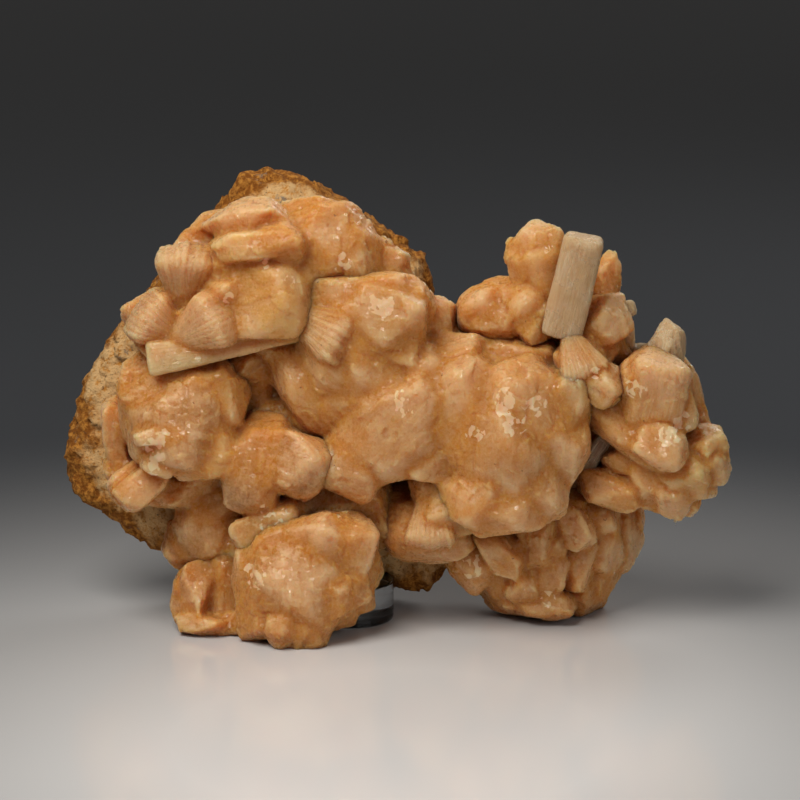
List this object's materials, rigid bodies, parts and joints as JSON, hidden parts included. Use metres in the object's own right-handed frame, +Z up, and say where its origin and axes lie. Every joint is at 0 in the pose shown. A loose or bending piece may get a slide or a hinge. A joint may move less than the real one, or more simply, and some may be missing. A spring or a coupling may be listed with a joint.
{
  "type": "stilbite cluster",
  "caption": "Free-standing mineral specimen: peach stilbite sheaves and balls on a leaning plate of weathered rock, propped by a short clear acrylic rod.",
  "frame": {"origin": "on the surface that the specimen stands on, below the middle of its box", "axes": "+X to the right as seen from the display side, +Y away from the viewer, +Z up"},
  "size_m": [0.1656, 0.0648, 0.1077],
  "materials": {
    "matrix": "weathered, gritty, cream and rust brown, dull",
    "stilbite": "translucent peach, vitreous to pearly, finely striated",
    "acrylic": "clear polished acrylic"
  },
  "bodies": {
    "root": {"matrix": "matrix", "stilbite_crystals": "stilbite", "acrylic_rest": "acrylic"}
  },
  "joints": []
}
